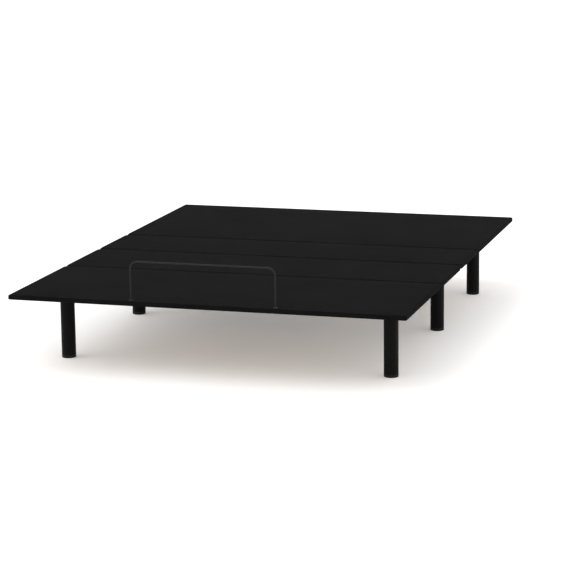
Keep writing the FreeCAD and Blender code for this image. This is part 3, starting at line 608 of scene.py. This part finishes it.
class Shell:
    """A cover's closed mesh: the top, then rings from its edge round to the fabric's inner side."""

    def __init__(self, loop, top):
        self.loop = loop
        self.points = [np.stack([loop.x, loop.y, top], -1).reshape(-1, 3)]
        self.rings = [loop.around]

    def count(self):
        """How many vertices it has so far."""
        return sum(len(points) for points in self.points)

    def add_ring(self, x, y, z):
        """A ring of points that follows the one before it."""
        self.rings.append(np.arange(len(x)) + self.count())
        self.points.append(np.stack([x, y, np.broadcast_to(z, x.shape)], -1))

    def add_wrapped_ring(self, wrapped, distance, z, hinge_distance, hinge_z):
        """A ring that lies at one offset and height where wrapped is 1, and at another where it is 0."""
        deep = np.array(self.loop.offset(distance))
        edge = np.array(self.loop.offset(hinge_distance))
        x, y = edge + (deep - edge) * wrapped
        self.add_ring(x, y, hinge_z + (z - hinge_z) * wrapped)

    def close(self, ceiling):
        """Adds the flat face over the board, and returns the vertices and faces."""
        loop, first = self.loop, self.count()
        faces = grid_faces(loop.index)
        for a, b in zip(self.rings, self.rings[1:]):
            faces += np.stack([a, b, np.roll(b, -1), np.roll(a, -1)], -1).tolist()
        border = dict(zip((loop.around + first).tolist(), self.rings[-1].tolist()))
        for face in grid_faces(loop.index + first):
            faces.append([border.get(v, v) for v in reversed(face)])
        flat = np.stack([loop.x, loop.y, np.full(loop.x.shape, ceiling)], -1).reshape(-1, 3)
        used, numbers = np.unique(np.array(faces), return_inverse=True)
        return np.concatenate([*self.points, flat])[used], numbers.reshape(-1, 4).tolist()


def press_under_sockets(loop, top, level):
    """Brings the fabric to a socket's flange where one sits on it."""
    low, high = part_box("retainer_sockets")
    flange_r = (high[1] - low[1]) / 2
    for x in (low[0] + flange_r, high[0] - flange_r):
        away = np.hypot(loop.x - x, loop.y - (low[1] + high[1]) / 2)
        pressed = 1 - smooth_step(away, 1.1 * flange_r, 3 * flange_r)
        top += (level - FLANGE_GAP - top) * pressed


def build_cover(name, seed):
    """A panel's foam and fabric: crowned on top, rounded over the edge, and wrapped under the board."""
    low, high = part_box(f"{name}_cover")
    board_low, board_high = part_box(f"{name}_board")
    under, edge_top = board_low[2], high[2] - TOP_DROP
    loop = PanelLoop(low, high)
    size = loop.high - loop.low
    crown = simulate_fabric(size[0], size[1], seed)

    def surface(x, y):
        return edge_top + sample(crown, (x - loop.low[0]) / size[0], (y - loop.low[1]) / size[1])

    top = surface(loop.x, loop.y)
    if name == "calf":
        press_under_sockets(loop, top, high[2])
    shell = Shell(loop, top)
    for angle in np.radians(EDGE_ANGLES):
        shell.add_ring(*loop.offset(EDGE_R * math.sin(angle)), edge_top - EDGE_R * (1 - math.cos(angle)))
    side_top, side_bottom = edge_top - EDGE_R, under + SIDE_END
    for part in SIDE_RINGS:
        shell.add_ring(*loop.offset(EDGE_R), side_top + (side_bottom - side_top) * part)

    x, y = loop.offset(EDGE_R)
    foot_hinged, head_hinged = hinged_edges(name)
    at_hinge = (foot_hinged & (y < low[1] + CORNER_R / 2)) | (head_hinged & (y > high[1] - CORNER_R / 2))
    wrapped = np.where(at_hinge, smooth_step(np.abs(x), *WRAP_FREE_X), 1)
    for distance, z, hinge_distance, hinge_z in WRAP_RINGS:
        shell.add_wrapped_ring(wrapped, distance, under + z, hinge_distance, under + hinge_z)
    ceiling = board_high[2] + BOARD_GAP
    for z in (under + LINING_START, ceiling):
        shell.add_ring(*loop.offset(LINING), z)

    piece = mesh_object(f"{name}_upholstery", *shell.close(ceiling), materials["upholstery"])
    face_outwards(piece)
    subdivide(piece)
    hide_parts(f"{name}_cover")
    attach(piece, PANELS[name])
    build_staples(name, low, high, under - CLOTH_T)
    build_stitches(name, low, high, surface)


# ---------------------------------------------------------------- many small shapes in one mesh

UP = Vector((0, 0, 1))


class Pile:
    """Gathers many small shapes into one mesh."""

    def __init__(self):
        self.vertices, self.faces = [], []

    def add(self, vertices, faces):
        first = len(self.vertices)
        self.vertices += [tuple(v) for v in vertices]
        self.faces += [tuple(first + v for v in face) for face in faces]

    def tube(self, path, radii, sides):
        """A closed tube along a path, with its own radius at each point."""
        rings = []
        for i, point in enumerate(path):
            along = (path[min(i + 1, len(path) - 1)] - path[max(i - 1, 0)]).normalized()
            across = along.cross(UP)
            across = (along.orthogonal() if across.length < 0.1 else across).normalized()
            other = across.cross(along)
            rings.append([point + radii[i] * (math.cos(a) * across + math.sin(a) * other)
                          for a in (2 * math.pi * k / sides for k in range(sides))])
        vertices = [v for ring in rings for v in ring]
        faces = [(i * sides + k, i * sides + (k + 1) % sides, (i + 1) * sides + (k + 1) % sides,
                  (i + 1) * sides + k) for i in range(len(rings) - 1) for k in range(sides)]
        last = (len(rings) - 1) * sides
        faces += [tuple(reversed(range(sides))), tuple(range(last, last + sides))]
        self.add(vertices, faces)

    def lathe(self, place, profile, sides):
        """A shape turned about an upright axis; its profile starts and ends on the axis."""
        vertices = [place + Vector((0, 0, profile[0][1]))]
        for radius, z in profile[1:-1]:
            vertices += [place + Vector((radius * math.cos(a), radius * math.sin(a), z))
                         for a in (2 * math.pi * k / sides for k in range(sides))]
        vertices.append(place + Vector((0, 0, profile[-1][1])))
        rings, last = len(profile) - 2, len(vertices) - 1
        faces = [(0, 1 + (k + 1) % sides, 1 + k) for k in range(sides)]
        faces += [(1 + i * sides + k, 1 + i * sides + (k + 1) % sides,
                   1 + (i + 1) * sides + (k + 1) % sides, 1 + (i + 1) * sides + k)
                  for i in range(rings - 1) for k in range(sides)]
        faces += [(last, last - sides + k, last - sides + (k + 1) % sides) for k in range(sides)]
        self.add(vertices, faces)

    def piece(self, name, material, body):
        """The mesh so far as a finished piece that rides on a body."""
        made = mesh_object(name, self.vertices, self.faces, materials[material])
        face_outwards(made)
        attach(made, body)
        return made


# ---------------------------------------------------------------- staples and topstitching

STAPLE_INSET = 17 * MM
STAPLE_PITCH = 52 * MM
STAPLE_HALF = 5 * MM
STAPLE_R = 0.5 * MM
STAPLE_TURN = 0.08         # how unevenly staples are turned, in radians
STAPLE_SHIFT = 2.5 * MM
STAPLE_MARGINS_X = (45 * MM, 40 * MM)   # from a panel's left and right sides to where a row may reach
STAPLE_MARGINS_Y = (40 * MM, 30 * MM)   # the same from its foot end and its head end
STAPLE_SHAPE = ((-1, 3.5), (-1, 0.6), (-0.92, 0), (0.92, 0), (1, 0.6), (1, 3.5))   # half lengths, mm up
STITCH_INSET = 9 * MM
STITCH_LENGTH, STITCH_PITCH = 3.4 * MM, 4.8 * MM
STITCH_R = 0.42 * MM
STITCH_SLANT = 0.12 * MM   # how far stitches stray from the line
STITCH_SHAPE = (           # share of its length, mm above the fabric, share of its radius
    (0, -0.5, 0.6), (0.2, 0.15, 1), (0.5, 0.3, 1), (0.8, 0.15, 1), (1, -0.5, 0.6),
)
FACETS = 6                 # sides of the wire and the thread
JITTER = np.random.default_rng(20)


def build_staples(name, low, high, z):
    """Staples that hold the wrapped fabric to the board's underside."""
    pile = Pile()
    rows = np.arange(low[1] + STAPLE_MARGINS_Y[0], high[1] - STAPLE_MARGINS_Y[1], STAPLE_PITCH)
    places = [(x, y, 0, 1) for x in (low[0] + STAPLE_INSET, high[0] - STAPLE_INSET) for y in rows]
    columns = np.arange(low[0] + STAPLE_MARGINS_X[0], high[0] - STAPLE_MARGINS_X[1], STAPLE_PITCH)
    for y, hinged in zip((low[1] + STAPLE_INSET, high[1] - STAPLE_INSET), hinged_edges(name)):
        for x in columns:
            if not hinged or abs(x) > WRAP_FREE_X[1] + STAPLE_HALF:
                places.append((x, y, 1, 0))
    for x, y, along_x, along_y in places:
        turn = JITTER.normal(0, STAPLE_TURN)
        along = Matrix.Rotation(turn, 3, "Z") @ Vector((along_x, along_y, 0))
        middle = Vector((x, y, z)) + along * JITTER.normal(0, STAPLE_SHIFT)
        path = [middle + along * reach * STAPLE_HALF + UP * (rise * MM) for reach, rise in STAPLE_SHAPE]
        pile.tube(path, [STAPLE_R] * len(path), FACETS)
    pile.piece(f"{name}_staples", "zinc", PANELS[name])


def build_stitches(name, low, high, surface):
    """Topstitching along each hinge edge, where a gusset is sewn on."""
    pile = Pile()
    for y, hinged in zip((low[1] + STITCH_INSET, high[1] - STITCH_INSET), hinged_edges(name)):
        if not hinged:
            continue
        for x in np.arange(low[0] + STITCH_INSET, high[0] - STITCH_INSET, STITCH_PITCH):
            slant = JITTER.normal(0, STITCH_SLANT)
            path = [Vector((x + part * STITCH_LENGTH, y + slant * part, 0))
                    for part, _, _ in STITCH_SHAPE]
            for point, (_, rise, _) in zip(path, STITCH_SHAPE):
                point.z = surface(point.x, point.y) + rise * MM
            pile.tube(path, [share * STITCH_R for _, _, share in STITCH_SHAPE], FACETS)
    made = pile.piece(f"{name}_topstitch", "upholstery", PANELS[name])
    made.data.materials[0] = materials["thread"]


# ---------------------------------------------------------------- welds and screws

TUBE = 25 * MM             # side of the moving frames' and the seat's square tubes
FRAMES = {                 # a moving frame's hinge, its direction from it, where its cross tubes begin
    "head": ("head", 1, (12, 55, 190, 430, 675)),
    "thigh": ("thigh", -1, (12, 55, 190, 327)),
    "calf": ("knee", -1, (12, 220, 430)),
}
CROSS_MEMBERS = ("foot_cross_member", "mid_cross_member", "head_cross_member")
WELD_STEP = 1.3 * MM       # spacing of the points along a weld
WELD_R = 1.75              # in mm, as the next two are
WELD_RIPPLE = 0.3
WELD_UNEVEN = 0.25
WELD_END = 0.55            # radius at its two ends, as a share of the rest
WELD_STOP = 2 * MM         # how far a weld ends short of a tube's open side
SEAT_WELD_STOP = 3 * MM
SCREW_HEAD = (             # radius and height in mm: from the recess in the head round to its flat side
    (0, -1.4), (2.0, -1.4), (2.2, -3.0), (3.2, -3.1), (4.6, -2.2), (5.4, -0.9), (5.5, 0.2), (0, 0.2),
)
SCREW_X = (190 * MM, 430 * MM)


def hinge_line(name):
    """The Y of a hinge: the middle of the gap between its panels."""
    lower, upper = HINGES[name]
    return (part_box(f"{lower}_cover")[1][1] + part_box(f"{upper}_cover")[0][1]) / 2


def weld(pile, corners):
    """A rippled bead of weld along straight runs between corners."""
    path = []
    for a, b in zip(corners, corners[1:]):
        steps = max(2, round((b - a).length / WELD_STEP))
        path += [a.lerp(b, i / steps) for i in range(steps)]
    path.append(corners[-1])
    radii = []
    for i, point in enumerate(path):
        uneven = noise.noise(point * 90) * WELD_UNEVEN
        taper = WELD_END if i in (0, len(path) - 1) else 1
        radii.append(MM * (WELD_R + WELD_RIPPLE * math.sin(i * 2.1) + uneven) * taper)
    pile.tube(path, radii, 8)


def weld_three_sides(pile, x, y0, y1, open_z, closed_z):
    """Welds the end of a cross tube to what it meets, all round but for the side at open_z."""
    corners = ((y0, open_z), (y0, closed_z), (y1, closed_z), (y1, open_z))
    weld(pile, [Vector((x, y, z)) for y, z in corners])


def board_screw(pile, x, y, z):
    """A pan head under a cross tube, of a screw that goes up into the board."""
    pile.lathe(Vector((x, y, z)), [(r * MM, h * MM) for r, h in SCREW_HEAD], 20)


def build_moving_frame_details(name):
    """Welds at the ends of a moving frame's cross tubes, and screws under its middle ones."""
    hinge, away, bars = FRAMES[name]
    line = hinge_line(hinge)
    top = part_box(f"{name}_board")[0][2]
    side_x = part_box("head_frame")[1][0] - TUBE
    welds, screws = Pile(), Pile()
    for number, bar in enumerate(bars):
        y0, y1 = sorted((line + away * bar * MM, line + away * (bar * MM + TUBE)))
        for side in (-1, 1):
            weld_three_sides(welds, side * side_x, y0, y1, top - WELD_STOP, top - TUBE)
            if 0 < number < len(bars) - 1:
                for x in SCREW_X:
                    board_screw(screws, side * x, (y0 + y1) / 2, top - TUBE)
    welds.piece(f"{name}_frame_welds", "black_steel", PANELS[name])
    screws.piece(f"{name}_board_screws", "zinc", PANELS[name])


def build_fixed_frame_details():
    """Welds of the fixed frame's cross members and tubes, and the seat board's screws."""
    welds, screws = Pile(), Pile()
    for node in CROSS_MEMBERS:
        low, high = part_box(node)
        for x in (low[0], high[0]):
            weld_three_sides(welds, x, low[1], high[1], low[2] + WELD_STOP, high[2])
    low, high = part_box("seat_cross_tubes")
    for y0 in (low[1], high[1] - TUBE):
        for x in (low[0], high[0]):
            weld_three_sides(welds, x, y0, y0 + TUBE, high[2] - SEAT_WELD_STOP, low[2])
        for x in (-SCREW_X[1], -SCREW_X[0], SCREW_X[0], SCREW_X[1]):
            board_screw(screws, x, y0 + TUBE / 2, low[2])
    welds.piece("base_frame_welds", "black_steel", "base_frame")
    screws.piece("seat_board_screws", "zinc", "base_frame")


# ---------------------------------------------------------------- gussets between the panels

GUSSET_EMBED = 4 * MM      # how far a gusset is sewn in under the covers' edges
GUSSET_SAG = 2.4 * MM      # how far its middle hangs below its edges
GUSSET_RIPPLE = 0.25       # how unevenly it hangs, as a share of the sag
GUSSET_STATIONS = 17       # points across the gap
SIDE_SAG = 0.35            # share of the sag that it has down the sides
GUSSET_UNDER = 10 * MM     # how far it goes under the panels
GUSSET_DROP = 1.9 * MM     # from the covers' top to its edges
GUSSET_INSET = 1.1 * MM    # from the covers' sides to its own
GUSSET_LIFT = 0.4 * MM     # from the covers' underside up to its ends
GUSSET_BEND = 1.5 * MM     # height over its ends where its sides begin to turn under the panels


def edge_profile(level, under, half):
    """Half of the outline of a panel seen from the foot end: (x, z, outward x, outward z)."""
    flat_end = half - EDGE_R
    steps = round(flat_end / TOP_CELL)
    points = [(flat_end * i / steps, level, 0.0, 1.0) for i in range(steps)]
    for angle in np.radians((0, 22.5, 45, 67.5, 90)):
        points.append((flat_end + EDGE_R * math.sin(angle), level - EDGE_R * (1 - math.cos(angle)),
                       math.sin(angle), math.cos(angle)))
    side = level - EDGE_R - (under + GUSSET_BEND)
    points += [(half, level - EDGE_R - side * part, 1.0, 0.0) for part in (0.33, 0.67, 1.0)]
    points.append((half - 0.6 * MM, under + 0.4 * MM, 0.7, -0.7))
    points += [(half - GUSSET_UNDER * part, under, 0.0, -1.0) for part in (0.2, 0.6, 1.0)]
    return points


def build_gusset(hinge):
    """The strip of stretch fabric that closes a gap between panels, over the top and down the sides."""
    lower, upper = HINGES[hinge]
    low_box, high_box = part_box(f"{lower}_cover"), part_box(f"{upper}_cover")
    start, end = low_box[1][1], high_box[0][1]
    level, under = low_box[1][2] - GUSSET_DROP, low_box[0][2] + GUSSET_LIFT
    right = edge_profile(level, under, low_box[1][0] - GUSSET_INSET)
    profile = [(-x, z, -nx, nz) for x, z, nx, nz in reversed(right[1:])] + right
    y0, y1 = start - GUSSET_EMBED, end + GUSSET_EMBED
    across = np.linspace(0, 1, GUSSET_STATIONS)
    rows = []
    for x, z, nx, nz in profile:
        ripple = 1 + GUSSET_RIPPLE * noise.noise(Vector((x * 22, z * 22, start * 9)))
        sag = GUSSET_SAG * ripple * np.sin(math.pi * across) ** 0.8
        sag[0] = sag[-1] = 0
        rows.append(np.stack([x - SIDE_SAG * nx * sag, y0 + (y1 - y0) * across, z - nz * sag], -1))
    vertices = np.concatenate(rows)
    index = np.arange(len(vertices)).reshape(len(rows), len(across))
    piece = mesh_object(f"gusset_{hinge}", vertices, grid_faces(index), materials["upholstery"])
    subdivide(piece)
    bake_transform(piece)


# ---------------------------------------------------------------- making

make_camera()
make_studio()
materials = make_materials()
paint_cad_nodes(materials)
for seed, panel in enumerate(PANELS):
    build_cover(panel, seed)
for hinge in HINGES:
    build_gusset(hinge)
for panel in FRAMES:
    build_moving_frame_details(panel)
build_fixed_frame_details()
